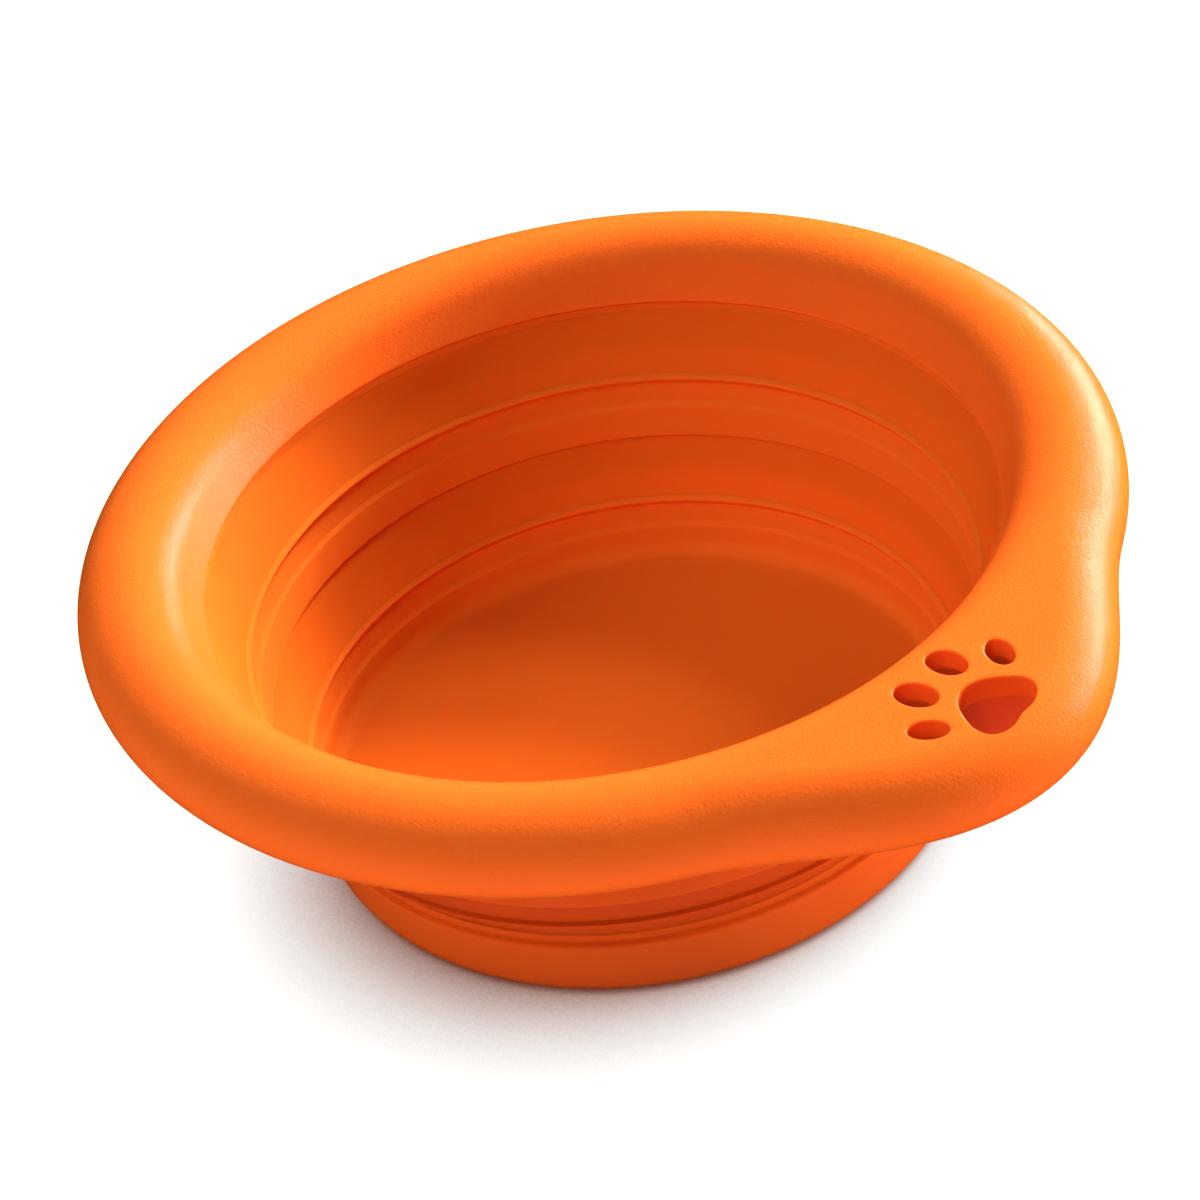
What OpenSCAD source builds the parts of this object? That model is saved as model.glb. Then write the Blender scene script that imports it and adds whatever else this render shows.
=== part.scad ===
// Collapsible pet bowl. A silicone bowl telescopes in two steps through thin fold webs, and hangs in a thick rim
// that has a hang tab with a paw print cut through it.
// Origin on the bowl's axis at the underside of its foot, +Z up, the tab along +X. Millimetres.

/* [Rim] */
// Radius of the mouth, at the rim's lower inner edge
lip_r = 70; // [62:1:80]
// Width of the rim away from the tab
rim_w = 19.7; // [18:0.1:24]
// Height of the rim's rounded section
rim_h = 16; // [15:0.5:20]
// How far the rim's inner flank leans out above the lip
flank_lean = 2.5; // [1:0.1:4]
// Height of the rim's widest line above the lip
flank_h = 3.15; // [2:0.05:5]
// Angle to which the rim's outer side curls under
curl_angle = 50; // [30:1:60]
// Thickness of the soft cover over the top of the frame
cover_top_t = 4; // [3:0.25:4.5]
// Thickness of the cover's outer side, at its widest line
cover_side_t = 4.8; // [4.6:0.1:7]
// Thickness of the cover's inner flank above the collar, at its foot
cover_flank_t = 5.7; // [5:0.1:6.5]

/* [Hang tab] */
// How far the tab stands out beyond the plain rim
tab_reach = 15; // [8:0.5:20]
// Angle from the tab's middle to where it runs out into the plain rim
tab_half_angle = 32.5; // [28:0.5:45]
// Width of the paw print's main pad
paw_w = 14; // [10:0.5:16]
// Distance of the main pad's middle from the tab's tip
paw_inset = 11.8; // [11.5:0.1:14]
// Turn of the whole print on the tab
paw_turn = 11; // [-15:1:15]

/* [Frame inside the rim] */
// Thickness of the frame's top plate
frame_plate_t = 2.5; // [2:0.1:3]
// Thickness of the frame's two skirts
frame_skirt_t = 1.8; // [1.4:0.1:2.4]
// Number of stiffening ribs round the whole frame
rib_count = 24; // [12:2:36]
// Thickness of a rib
rib_t = 1.4; // [1:0.1:2]
// Angle to each side of the tab's middle that stays free of ribs
rib_free_angle = 12; // [10:1:20]
// Extra room round each paw cut-out where it passes through the frame
paw_room = 0.4; // [0.3:0.1:0.6]
// Thickness of the well that lines each paw cut-out below the frame's top plate
well_t = 1.2; // [0.8:0.1:1.5]

/* [Silicone bowl] */
// How much smaller the middle band's lower edge is than the mouth, as a radius
band_inset = 5.7; // [5:0.1:7]
// How much smaller the base cup's band is than the middle band's, as a radius
cup_inset = 5.7; // [5.2:0.1:7]
// Draft of each band: how far its wall leans out from its foot to the groove
band_draft = 0.7; // [0.2:0.1:1]
// Height of the base cup's smooth band above the table
cup_band_h = 9; // [8:0.5:14]
// Height of the middle band's smooth band
band_h = 6.7; // [5:0.1:10]
// Height of the lower fold web, from the cup's head to the middle band
lower_fold_h = 11.6; // [11:0.1:14]
// Height of the upper fold web, from the band's head to the collar
upper_fold_h = 11.5; // [11:0.1:15]
// Thickness of the fold webs
fold_t = 1.2; // [0.9:0.1:1.4]
// How far each fold web bows out between its ends
fold_bow = 0.6; // [0:0.1:1]
// Height of the groove between a band and its bead
groove_h = 5.3; // [4.5:0.1:7]
// Depth of that groove
groove_d = 1; // [0.6:0.1:1.2]
// Radius of the bead above each groove
bead_r = 0.9; // [0.6:0.1:1]
// Radius of the slim ridge round the outside of each fold web
ridge_r = 0.8; // [0.6:0.1:0.9]
// Thickness of the bands at their outer shoulder
shoulder_t = 2.7; // [2.5:0.1:3.2]
// Width of the step under the lip and under the middle band, where the webs hang
step_w = 0.9; // [0.5:0.1:1.2]

/* [Base] */
// Thickness of the floor
floor_t = 3; // [2:0.1:4]
// Radius of the round inner corner between floor and wall
corner_r = 3; // [2:0.5:5]
// Radius of the round outer edge of the foot
foot_round = 4.5; // [2:0.5:5]
// How far the cup's outer wall leans in from its shoulder to its foot
cup_lean = 1.3; // [0.3:0.1:2]

/* [Collar] */
// Thickness of the collar's flat leg under the rim's flank
collar_t = 1.9; // [1.5:0.1:2.5]
// Thickness of the collar's upright leg between cover and frame
collar_leg_t = 1.5; // [1.2:0.1:2]
// Height of that upright leg above the lip
collar_leg_h = 5; // [3:0.5:6]

/* [Clearances] */
// Gap between pieces that are bonded in the rim
bond_gap = 0.1; // [0.05:0.05:0.2]
// Gap between a fold web and the piece it hangs on or stands on
fold_gap = 0.2; // [0.2:0.05:0.3]

/* [Hidden] */
$fn = 96;
// Overrun of every cut
over = 1;
// Share of a fold web's thickness by which its root stands outside the groove
root_share = 0.1;
// Share of a bead's radius that softens the edges round it
edge_share = 0.3;
// Place of the ridge on a fold web, as a share of the way up, and the share of its radius that is sunk in the web
ridge_share = 0.4;
ridge_sink_share = 0.4;
// Share of the bands' draft that the base cup's lower wall has
cup_draft_share = 0.5;
// Stations round the rim, and steps along each of its arcs
stations = 108;
arc_steps = 6;
// Steps along a fold web
fold_steps = 8;
// Steps along the smooth outlines of the paw print
print_steps = 4;
toe_steps = 24;

// Levels, from the table up
cup_head_z = cup_band_h + groove_h + 2 * bead_r;
band_foot_z = cup_head_z + lower_fold_h;
band_line_z = band_foot_z + band_h;
band_head_z = band_line_z + groove_h + 2 * bead_r;
collar_z = band_head_z + upper_fold_h;
lip_z = collar_z + collar_t + bond_gap;
rim_mid_z = lip_z + flank_h;
rim_top_z = rim_mid_z + rim_h / 2;

// Radii of the silicone bowl
band_foot_r = lip_r - band_inset;
band_line_r = band_foot_r + band_draft;
cup_line_r = band_line_r - cup_inset;
cup_shoulder_r = cup_line_r + shoulder_t;
cup_foot_r = cup_shoulder_r - cup_lean - foot_round;
collar_r = lip_r + step_w;

// Rim section: two quarter-round ends of these half-widths, joined by a flat stretch where the tab widens it
end_w = rim_w / 2;
end_h = rim_h / 2;
inner_end_r = lip_r + flank_lean + end_w;
plain_r = lip_r + flank_lean + rim_w;
cover_in_r = lip_r + cover_flank_t;
cavity_top_z = rim_top_z - cover_top_t;
// Share of the rim's height by which the cover's lower edge hangs below the curl
hem_share = 0.04;
// A flat stretch of this share of the width keeps the plain section's top from closing to a point
flat_share = 0.005;

// Frame inside the cavity, and its skirts' lower edge
frame_in_r = cover_in_r + collar_leg_t + 2 * bond_gap;
frame_top_z = cavity_top_z - bond_gap;
frame_foot_z = lip_z - collar_t;

// Middle of the paw print
paw_x = plain_r + tab_reach - paw_inset;

// Half outline of the main pad from its toe end to its heel, as shares of its width, and its mirrored other half
pad_half_shares = [[-0.42, 0], [-0.37, 0.16], [-0.27, 0.28], [-0.09, 0.41], [0.07, 0.48],
    [0.22, 0.46], [0.32, 0.35], [0.365, 0.19], [0.35, 0]];
// Toes as shares of the pad's width: place along and across the print, length, width, and turn in degrees
toe_shares = [[-0.82, 0.31, 0.54, 0.37, -5], [-0.385, 0.735, 0.47, 0.3, -32]];

// Points of an ellipse arc about (x, y)
function arc(x, y, rx, ry, from, to, steps) =
    [for (i = [0:steps]) let (t = from + (to - from) * i / steps) [x + rx * cos(t), y + ry * sin(t)]];

// Angle of a station round the rim
function station(i) = 360 * i / stations;

// Outer radius of the rim at an angle from the tab's middle
function rim_r(angle) =
    let (a = abs(angle > 180 ? angle - 360 : angle))
    plain_r + (a < tab_half_angle ? tab_reach * (1 + cos(180 * a / tab_half_angle)) / 2 : 0);

// Angle on the inner rounded end where a straight flank from the lip touches it
function flank_angle() =
    let (u = (lip_r - inner_end_r) / end_w, v = (lip_z - rim_mid_z) / end_h)
    atan2(v, u) + 360 - acos(1 / norm([u, v]));

// Outline of the cover's section, for the rim's outer radius r there
function cover_section(r) =
    let (side = r - cover_side_t, out = max(r - end_w, inner_end_r + flat_share * rim_w),
        curl_z = rim_mid_z - end_h * sin(curl_angle))
    concat(
        [[lip_r, lip_z]],
        arc(inner_end_r, rim_mid_z, end_w, end_h, flank_angle(), 90, arc_steps),
        arc(out, rim_mid_z, end_w, end_h, 90, -curl_angle, 2 * arc_steps),
        [
            [(out + end_w * cos(curl_angle) + side) / 2, curl_z - hem_share * rim_h],
            [side, curl_z],
            [side, cavity_top_z],
            [cover_in_r, cavity_top_z],
            [cover_in_r, lip_z]
        ]);

// Outline in plan of the frame's outer skirt, drawn in by a wall
function frame_outline(wall) =
    [for (i = [0:stations - 1]) let (a = station(i), r = rim_r(a) - cover_side_t - bond_gap - wall)
        [r * cos(a), r * sin(a)]];

// Closed ring swept from a list of sections, one for each station round the axis
module swept_ring(sections) {
    count = len(sections);
    width = len(sections[0]);
    points = [for (i = [0:count - 1]) let (a = 360 * i / count)
        each [for (p = sections[i]) [p[0] * cos(a), p[0] * sin(a), p[1]]]];
    faces = [for (i = [0:count - 1]) each [for (j = [0:width - 1])
        let (k = (i + 1) % count, m = (j + 1) % width)
        each [[i * width + j, k * width + m, i * width + m], [i * width + j, k * width + j, k * width + m]]]];
    polyhedron(points, faces, convexity = 8);
}

// Point of a smooth closed curve through the points q, between q[i] and q[i + 1]
function spline(q, i, t) =
    let (n = len(q), a = q[(i + n - 1) % n], b = q[i], c = q[(i + 1) % n], d = q[(i + 2) % n])
    (2 * b + (c - a) * t + (2 * a - 5 * b + 4 * c - d) * t * t + (3 * b - a - 3 * c + d) * t * t * t) / 2;

// Outline of the main pad, with room added round it
function pad_outline(room) =
    let (half = pad_half_shares, n = len(half), size = paw_w + 2 * room,
        whole = concat(half, [for (i = [n - 2:-1:1]) [half[i][0], -half[i][1]]]))
    [for (i = [0:len(whole) - 1]) each [for (s = [0:print_steps - 1]) size * spline(whole, i, s / print_steps)]];

// The five cut-outs of the paw print, from one level to another, with room added round each
module paw_cuts(low, high, room) {
    translate([paw_x, 0, low]) rotate(paw_turn) {
        linear_extrude(high - low) polygon(pad_outline(room));
        for (toe = toe_shares, side = [-1, 1])
            translate([toe[0] * paw_w, side * toe[1] * paw_w, 0]) rotate(side * toe[4]) linear_extrude(high - low)
                polygon(arc(0, 0, toe[2] * paw_w / 2 + room, toe[3] * paw_w / 2 + room,
                    0, 360 - 360 / toe_steps, toe_steps - 1));
    }
}

// Soft grained cover: the rounded rim and its tab, hollow below for the frame
module rim_cover() {
    color("#ff8420") difference() {
        swept_ring([for (i = [0:stations - 1]) cover_section(rim_r(station(i)))]);
        paw_cuts(cavity_top_z - over, rim_top_z + over, 0);
    }
}

// Radial ribs between the frame's skirts, left out at the paw print
module frame_ribs() {
    pitch = 360 / rib_count;
    for (i = [0:rib_count - 1])
        let (a = (i + 0.5) * pitch)
        if (min(a, 360 - a) > rib_free_angle)
            rotate(a) translate([frame_in_r, -rib_t / 2, frame_foot_z - 2 * over])
                cube([rim_w + tab_reach, rib_t, frame_top_z]);
}

// Stiff hoop inside the cover: a channel with radial ribs, and a well round each of the paw print's cut-outs
module rim_frame() {
    pocket_top_z = frame_top_z - frame_plate_t;
    color("#e8620c") difference() {
        translate([0, 0, frame_foot_z]) linear_extrude(frame_top_z - frame_foot_z) polygon(frame_outline(0));
        translate([0, 0, frame_foot_z - over]) cylinder(r = frame_in_r, h = frame_top_z - frame_foot_z + 2 * over);
        difference() {
            translate([0, 0, frame_foot_z - over])
                linear_extrude(pocket_top_z - frame_foot_z + over) polygon(frame_outline(frame_skirt_t));
            translate([0, 0, frame_foot_z - 2 * over])
                cylinder(r = frame_in_r + frame_skirt_t, h = frame_top_z - frame_foot_z + 2 * over);
            frame_ribs();
            paw_cuts(frame_foot_z - 2 * over, frame_top_z, paw_room + well_t);
        }
        paw_cuts(frame_foot_z - over, frame_top_z + over, paw_room);
    }
}

// Top flange of the silicone bowl: a flat leg under the rim's flank and an upright leg bonded behind it
module collar() {
    leg_in_r = cover_in_r + bond_gap;
    color("#d8400c") rotate_extrude() polygon([
        [collar_r, lip_z - bond_gap],
        [collar_r, collar_z],
        [leg_in_r + collar_leg_t, collar_z],
        [leg_in_r + collar_leg_t, lip_z + collar_leg_h],
        [leg_in_r, lip_z + collar_leg_h],
        [leg_in_r, lip_z - bond_gap]
    ]);
}

// Inner radius of a head's web root, above a band whose groove line has radius r
function root_r(r) = r + groove_d + root_share * fold_t;

// Outline of a head, up the inside and down the outside: groove, bead, web root and outer shoulder,
// for a band whose groove line has radius r and height z
function head(r, z) =
    let (bead_z = z + groove_h + bead_r, top = bead_z + bead_r, out = root_r(r) + fold_t, soft = edge_share * bead_r,
        shoulder = r + shoulder_t, shoulder_z = z + groove_h - groove_d)
    concat(
        [[r, z - soft], [r + soft, z], [r + groove_d, z + groove_d - soft], [r + groove_d, z + groove_h]],
        arc(r + groove_d + soft, bead_z, bead_r, bead_r, 240, 110, arc_steps),
        [
            [root_r(r) + soft, top],
            [out, top],
            [out, shoulder_z + groove_d - soft],
            [shoulder - soft, shoulder_z + soft],
            [shoulder, shoulder_z]
        ]);

// Fold web: a thin bowed cone with a slim ridge round its outside, from (r0, z0) up to (r1, z1)
module fold_web(r0, z0, r1, z1) {
    function inner(t) = [r0 + (r1 - r0) * t + fold_bow * 4 * t * (1 - t), z0 + (z1 - z0) * t];
    side = [for (i = [0:fold_steps]) inner(i / fold_steps)];
    rotate_extrude() polygon(concat(side, [for (i = [fold_steps:-1:0]) side[i] + [fold_t, 0]]));
    rotate_extrude() translate(inner(ridge_share) + [fold_t - ridge_sink_share * ridge_r, 0]) circle(r = ridge_r);
}

// Web between collar and middle band
module upper_fold() {
    color("#e04a10") fold_web(root_r(band_line_r), band_head_z + fold_gap, collar_r, collar_z - fold_gap);
}

// Thick ring between the two folds: a smooth band with a sharp lower step, a groove and a bead
module middle_band() {
    soft = edge_share * bead_r;
    outer_foot_r = band_foot_r + shoulder_t;
    color("#f05a14") rotate_extrude() polygon(concat(
        [[band_foot_r + soft, band_foot_z], [band_foot_r, band_foot_z + soft]],
        head(band_line_r, band_line_z),
        [[outer_foot_r, band_foot_z + bead_r], [outer_foot_r - bead_r, band_foot_z]]));
}

// Web between middle band and base cup
module lower_fold() {
    color("#e04a10")
        fold_web(root_r(cup_line_r), cup_head_z + fold_gap, band_foot_r + step_w, band_foot_z - fold_gap);
}

// Bottom cup: head, smooth band, floor and the flat foot that the bowl stands on
module base_cup() {
    foot_wall_r = cup_shoulder_r - cup_lean;
    wall_foot_r = cup_line_r - cup_draft_share * band_draft;
    color("#d8440c") rotate_extrude() polygon(concat(
        [[0, 0], [0, floor_t]],
        arc(wall_foot_r - corner_r, floor_t + corner_r, corner_r, corner_r, -90, 0, arc_steps),
        head(cup_line_r, cup_band_h),
        arc(cup_foot_r, foot_round, foot_round, foot_round, 0, -90, arc_steps)
    ));
}

rim_cover();
rim_frame();
collar();
upper_fold();
middle_band();
lower_fold();
base_cup();
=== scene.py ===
"""Dressed model of the collapsible pet bowl: a grained rubber rim with a hang tab on a smooth silicone bowl.

Sizes are the real object's, in millimetres, and are turned to metres where a mesh is made. Every piece
stands in the frame of the construction model: origin on the bowl's axis at the underside of its foot, +Z up,
the hang tab along +X.
"""
import logging
import math
from dataclasses import dataclass, field
from enum import Enum
from typing import Callable, Sequence

import bmesh
import bpy
import numpy as np
from bpy.types import ID, Material, Node, Object
from bpy.types import NodeSocket as Socket
from bpy.types import NodeTree as Tree
from mathutils import Matrix, Vector
from mathutils.geometry import delaunay_2d_cdt


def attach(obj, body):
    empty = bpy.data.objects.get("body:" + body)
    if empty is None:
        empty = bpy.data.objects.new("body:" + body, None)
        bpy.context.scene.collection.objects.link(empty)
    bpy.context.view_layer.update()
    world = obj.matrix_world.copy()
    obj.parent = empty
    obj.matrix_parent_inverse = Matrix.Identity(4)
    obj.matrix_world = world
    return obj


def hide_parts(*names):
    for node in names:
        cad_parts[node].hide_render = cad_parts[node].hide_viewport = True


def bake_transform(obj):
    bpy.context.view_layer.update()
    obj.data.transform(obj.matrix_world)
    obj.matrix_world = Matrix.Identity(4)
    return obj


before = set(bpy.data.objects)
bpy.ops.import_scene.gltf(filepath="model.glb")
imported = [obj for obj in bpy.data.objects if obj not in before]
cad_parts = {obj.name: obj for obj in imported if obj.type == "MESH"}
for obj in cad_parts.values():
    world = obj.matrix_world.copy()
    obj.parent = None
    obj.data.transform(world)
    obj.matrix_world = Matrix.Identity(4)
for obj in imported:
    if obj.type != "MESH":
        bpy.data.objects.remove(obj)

log = logging.getLogger("pet_bowl")

MM = 0.001
WELD_M = 1e-7
ON_AXIS_MM = 1e-9
STRAIGHT = 1e-3
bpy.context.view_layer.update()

Point = tuple[float, float]
Corner = tuple[float, float, float]
Rounds = tuple[float, ...]
Outline = np.ndarray
Faces = list[list[int]]
Colour = tuple[float, float, float, float]
Surface = tuple[Socket, Socket, Socket]
Region = tuple[Outline, list[int], Outline]


def linear(code: str) -> Colour:
    """Turns an sRGB hex colour into linear values.

    Args:
        code: The colour as "#rrggbb".

    Returns:
        Red, green, blue and an alpha of one, linear.
    """
    parts = [int(code[i : i + 2], 16) / 255 for i in (1, 3, 5)]
    r, g, b = (c / 12.92 if c <= 0.04045 else ((c + 0.055) / 1.055) ** 2.4 for c in parts)
    return r, g, b, 1.0


def add_node(tree: Tree, kind: str, inputs: dict | None = None, **settings) -> Node:
    """Adds a shader node with its settings and links.

    Args:
        tree: The node tree of a material or of the world.
        kind: The node's type, such as "Bump".
        inputs: Socket name or number to a value, or to an output socket that is linked to it.
        **settings: Properties of the node itself.

    Returns:
        The new node.
    """
    node = tree.nodes.new("ShaderNode" + kind)
    for name, value in settings.items():
        setattr(node, name, value)
    for name, value in (inputs or {}).items():
        if isinstance(value, Socket):
            tree.links.new(value, node.inputs[name])
        else:
            node.inputs[name].default_value = value
    return node


def per_mm(size_mm: float) -> float:
    """Scale of a pattern whose features are one size, in millimetres."""
    return 1 / (size_mm * MM)


def compute(tree: Tree, operation: str, *values: Socket | float, kind: str = "Math") -> Socket:
    """Result of a calculation on values in order."""
    return add_node(tree, kind, dict(enumerate(values)), operation=operation).outputs[0]


def spread(
    tree: Tree, value: Socket, low: float = 0.0, high: float = 1.0, start: float = 0.0, end: float = 1.0
) -> Socket:
    """Moves a value that runs from start to end, so that it runs from low to high."""
    inputs = {"Value": value, "From Min": start, "From Max": end, "To Min": low, "To Max": high}
    return add_node(tree, "MapRange", inputs).outputs["Result"]


def mix(tree: Tree, share: Socket, first: Socket | Colour, second: Colour) -> Socket:
    """A colour between two."""
    inputs = {"Factor": share, "A": first, "B": second}
    return add_node(tree, "Mix", inputs, data_type="RGBA").outputs["Result"]


def cloud(tree: Tree, place: Socket, size_mm: float, detail: float = 2.0, **more: float) -> Socket:
    """A cloudy pattern with features of one size."""
    inputs = {"Vector": place, "Scale": per_mm(size_mm), "Detail": detail} | more
    return add_node(tree, "TexNoise", inputs).outputs["Fac"]


def new_tree(name: str) -> tuple[Material, Tree, Node]:
    """Makes an empty material.

    Args:
        name: The material's name.

    Returns:
        The material, its node tree and its output node.
    """
    material = bpy.data.materials.new(name)
    material.use_nodes = True
    material.node_tree.nodes.clear()
    return material, material.node_tree, add_node(material.node_tree, "OutputMaterial")


@dataclass(frozen=True)
class MouldedFinish:
    """What the moulded finishes share: a colour that drifts a little, a fine relief and light that goes a
    short way in, red furthest."""

    name: str
    colour: str
    deep: str
    roughness: Point
    relief_mm: float
    specular: float
    glow: float
    glow_mm: float
    glow_reach: tuple[float, float, float] = (1.0, 0.3, 0.08)

    def _drift(self, tree: Tree, share: Socket) -> Socket:
        """The colour, mixed from its two shades."""
        return mix(tree, share, linear(self.deep), linear(self.colour))

    def _surface(self, tree: Tree, place: Socket) -> Surface:
        """Lays out what a finish has of its own.

        Args:
            tree: The material's node tree.
            place: The point on the piece.

        Returns:
            The colour, the pattern that moves the roughness between its two ends, and the relief's height.
        """
        raise NotImplementedError

    def material(self) -> Material:
        """Builds the node material.

        Returns:
            The finished material.
        """
        material, tree, out = new_tree(self.name)
        place = add_node(tree, "TexCoord").outputs["Object"]
        colour, haze, height = self._surface(tree, place)
        relief = {"Strength": 1.0, "Distance": self.relief_mm * MM, "Height": height}
        shader = add_node(
            tree, "BsdfPrincipled",
            {
                "Base Color": colour,
                "Roughness": spread(tree, haze, *self.roughness),
                "Normal": add_node(tree, "Bump", relief).outputs["Normal"],
                "Specular IOR Level": self.specular,
                "Subsurface Weight": self.glow,
                "Subsurface Radius": self.glow_reach,
                "Subsurface Scale": self.glow_mm * MM,
            },
        )
        tree.links.new(shader.outputs[0], out.inputs["Surface"])
        return material


@dataclass(frozen=True)
class GrainedRubber(MouldedFinish):
    """Thermoplastic rubber moulded in a grained tool: soft, dry to the touch, with a fine leather-like grain
    that breaks its broad sheen into wrinkles, drawn a little coarser than a real one, to show."""

    name: str = "moulded_tpe_grained"
    colour: str = "#dd641f"
    deep: str = "#d9601d"
    roughness: Point = (0.15, 0.25)
    relief_mm: float = 0.085
    specular: float = 0.3
    glow: float = 0.5
    glow_mm: float = 2.4
    glow_reach: tuple[float, float, float] = (1.0, 0.35, 0.1)
    grain_mm: float = 0.62
    grain_bend: float = 1.6
    pebble_share: float = 0.7
    warp_share: float = 0.6
    wrinkle_mm: float = 0.37
    cloud_mm: float = 14.0

    def _bent(self, tree: Tree, place: Socket) -> Socket:
        """The point on the piece, pushed about so that the grain's cells grow unlike one another."""
        scale = self.warp_share * per_mm(self.grain_mm)
        warp = add_node(tree, "TexNoise", {"Vector": place, "Scale": scale, "Detail": 2.0})
        middle = compute(tree, "SUBTRACT", warp.outputs["Color"], (0.5, 0.5, 0.5), kind="VectorMath")
        push = (self.grain_bend * self.grain_mm * MM,) * 3
        return compute(tree, "MULTIPLY_ADD", middle, push, place, kind="VectorMath")

    def _surface(self, tree: Tree, place: Socket) -> Surface:
        """Sets pebbles between wrinkles, which move the roughness too."""
        bent = self._bent(tree, place)
        cells = {"Vector": bent, "Scale": per_mm(self.grain_mm), "Smoothness": 0.4}
        pebbles = add_node(tree, "TexVoronoi", cells, feature="SMOOTH_F1").outputs["Distance"]
        wrinkles = cloud(tree, bent, self.wrinkle_mm, 3.0, Roughness=0.6)
        height = compute(tree, "MULTIPLY_ADD", pebbles, -self.pebble_share, wrinkles)
        return self._drift(tree, cloud(tree, place, self.cloud_mm, 3.0)), wrinkles, height


@dataclass(frozen=True)
class SmoothSilicone(MouldedFinish):
    """Liquid silicone rubber from a polished tool: smooth and satin. Its outer skin, which faces away from
    the bowl's axis, is painted a deeper shade that stands in for the shade under the rim."""

    name: str = "moulded_silicone_satin"
    colour: str = "#d3651d"
    deep: str = "#d0621b"
    # outer: painted shade on the skin facing away from the axis, standing in for the shade under the rim
    outer: str = "#c54b11"
    roughness: Point = (0.36, 0.44)
    relief_mm: float = 0.03
    specular: float = 0.05
    glow: float = 0.5
    glow_mm: float = 1.3
    ripple_mm: float = 9.0
    cloud_mm: float = 20.0
    painted_shade_from_mm: float = 5.0
    painted_shade_full_mm: float = 25.0

    def _painted_outer_shade(self, tree: Tree, place: Socket, colour: Socket) -> Socket:
        """Mixes in the outer skin's painted shade, by how far a point's outward direction leads from the
        bowl's axis.

        Args:
            tree: The material's node tree.
            place: The point on the piece.
            colour: The colour of the skin that faces the axis.

        Returns:
            The mixed colour.
        """
        facing = add_node(tree, "TexCoord").outputs["Normal"]
        level = compute(tree, "MULTIPLY", place, (1.0, 1.0, 0.0), kind="VectorMath")
        away = add_node(tree, "VectorMath", {0: level, 1: facing}, operation="DOT_PRODUCT").outputs["Value"]
        share = spread(tree, away, start=self.painted_shade_from_mm * MM, end=self.painted_shade_full_mm * MM)
        return mix(tree, share, colour, linear(self.outer))

    def _surface(self, tree: Tree, place: Socket) -> Surface:
        """Sets faint ripples under a colour with painted shade on the skin that faces away from the axis."""
        haze = cloud(tree, place, self.cloud_mm)
        colour = self._painted_outer_shade(tree, place, self._drift(tree, haze))
        return colour, haze, cloud(tree, place, self.ripple_mm, 1.0)


@dataclass(frozen=True)
class MouldedPolypropylene(MouldedFinish):
    """Polypropylene as it comes from the tool: a little waxy, with faint flow marks."""

    name: str = "moulded_polypropylene"
    colour: str = "#c8481a"
    deep: str = "#c04318"
    roughness: Point = (0.45, 0.55)
    relief_mm: float = 0.02
    specular: float = 0.06
    glow: float = 0.6
    glow_mm: float = 2.5
    flow_mm: float = 6.0

    def _surface(self, tree: Tree, place: Socket) -> Surface:
        """Sets flow marks that move colour, roughness and relief alike."""
        flow = cloud(tree, place, self.flow_mm, 4.0)
        return self._drift(tree, flow), flow, flow


@dataclass(frozen=True)
class OpalTabletop:
    """Opal acrylic product table that glows white as if lit from below, with a short soft painted shadow
    beside what stands on it, painted deeper on the side away from the key lamp."""

    name: str = "opal_acrylic_painted_shadow"
    glow: float = 2.0
    glow_drift: float = 0.02
    contact_mm: float = 34.0
    contact_share: float = 0.5
    cast_mm: float = 60.0
    cast_share: float = 0.7
    cast_from: tuple[float, float, float] = (0.0, 0.7, 0.7)
    rays: int = 8
    # painted shadow colours by openness, warmed near the bowl as painted bounce light from the rubber
    shades: tuple[tuple[float, str], ...] = (
        (0.22, "#441a10"), (0.36, "#69493f"), (0.43, "#836861"), (0.49, "#927d77"), (0.54, "#a19591"),
        (0.60, "#aca5a3"), (0.66, "#b5b3b1"), (0.73, "#bbbbba"), (0.80, "#c5c5c5"), (1.0, "#ffdbc0"),
    )
    mottle_mm: float = 60.0

    def _painted_shadow_openness(self, tree: Tree) -> Socket:
        """How open the table lies, which sets the painted shadow: to all sides near by, and toward the key
        lamp further off.

        Args:
            tree: The material's node tree.

        Returns:
            A share that falls under and beside the bowl.
        """
        contact = add_node(tree, "AmbientOcclusion", {"Distance": self.contact_mm * MM}, samples=self.rays)
        toward = add_node(tree, "CombineXYZ", dict(zip("XYZ", self.cast_from))).outputs[0]
        reach = {"Distance": self.cast_mm * MM, "Normal": toward}
        cast = add_node(tree, "AmbientOcclusion", reach, samples=self.rays)
        near = compute(tree, "MULTIPLY", contact.outputs["AO"], self.contact_share)
        return compute(tree, "MULTIPLY_ADD", cast.outputs["AO"], self.cast_share, near)

    def material(self) -> Material:
        """Builds the node material.

        Returns:
            The finished material.
        """
        material, tree, out = new_tree(self.name)
        place = add_node(tree, "TexCoord").outputs["Object"]
        mottle = cloud(tree, place, self.mottle_mm)
        # the ramp paints the shadow onto the glowing table, which also dims the light the table gives the
        # bowl's foot
        ramp = add_node(tree, "ValToRGB", {"Fac": self._painted_shadow_openness(tree)})
        band = ramp.color_ramp
        while len(band.elements) < len(self.shades):
            band.elements.new(0.5)
        for stop, (share, shade) in zip(band.elements, self.shades):
            stop.position, stop.color = share, linear(shade)
        evenness = spread(tree, mottle, self.glow * (1 - self.glow_drift), self.glow * (1 + self.glow_drift))
        light = add_node(tree, "Emission", {"Color": ramp.outputs["Color"], "Strength": evenness})
        tree.links.new(light.outputs[0], out.inputs["Surface"])
        material.cycles.emission_sampling = "NONE"
        return material


def add_object(name: str, data: ID) -> Object:
    """Adds an object to the scene."""
    obj = bpy.data.objects.new(name, data)
    bpy.context.scene.collection.objects.link(obj)
    return obj


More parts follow.
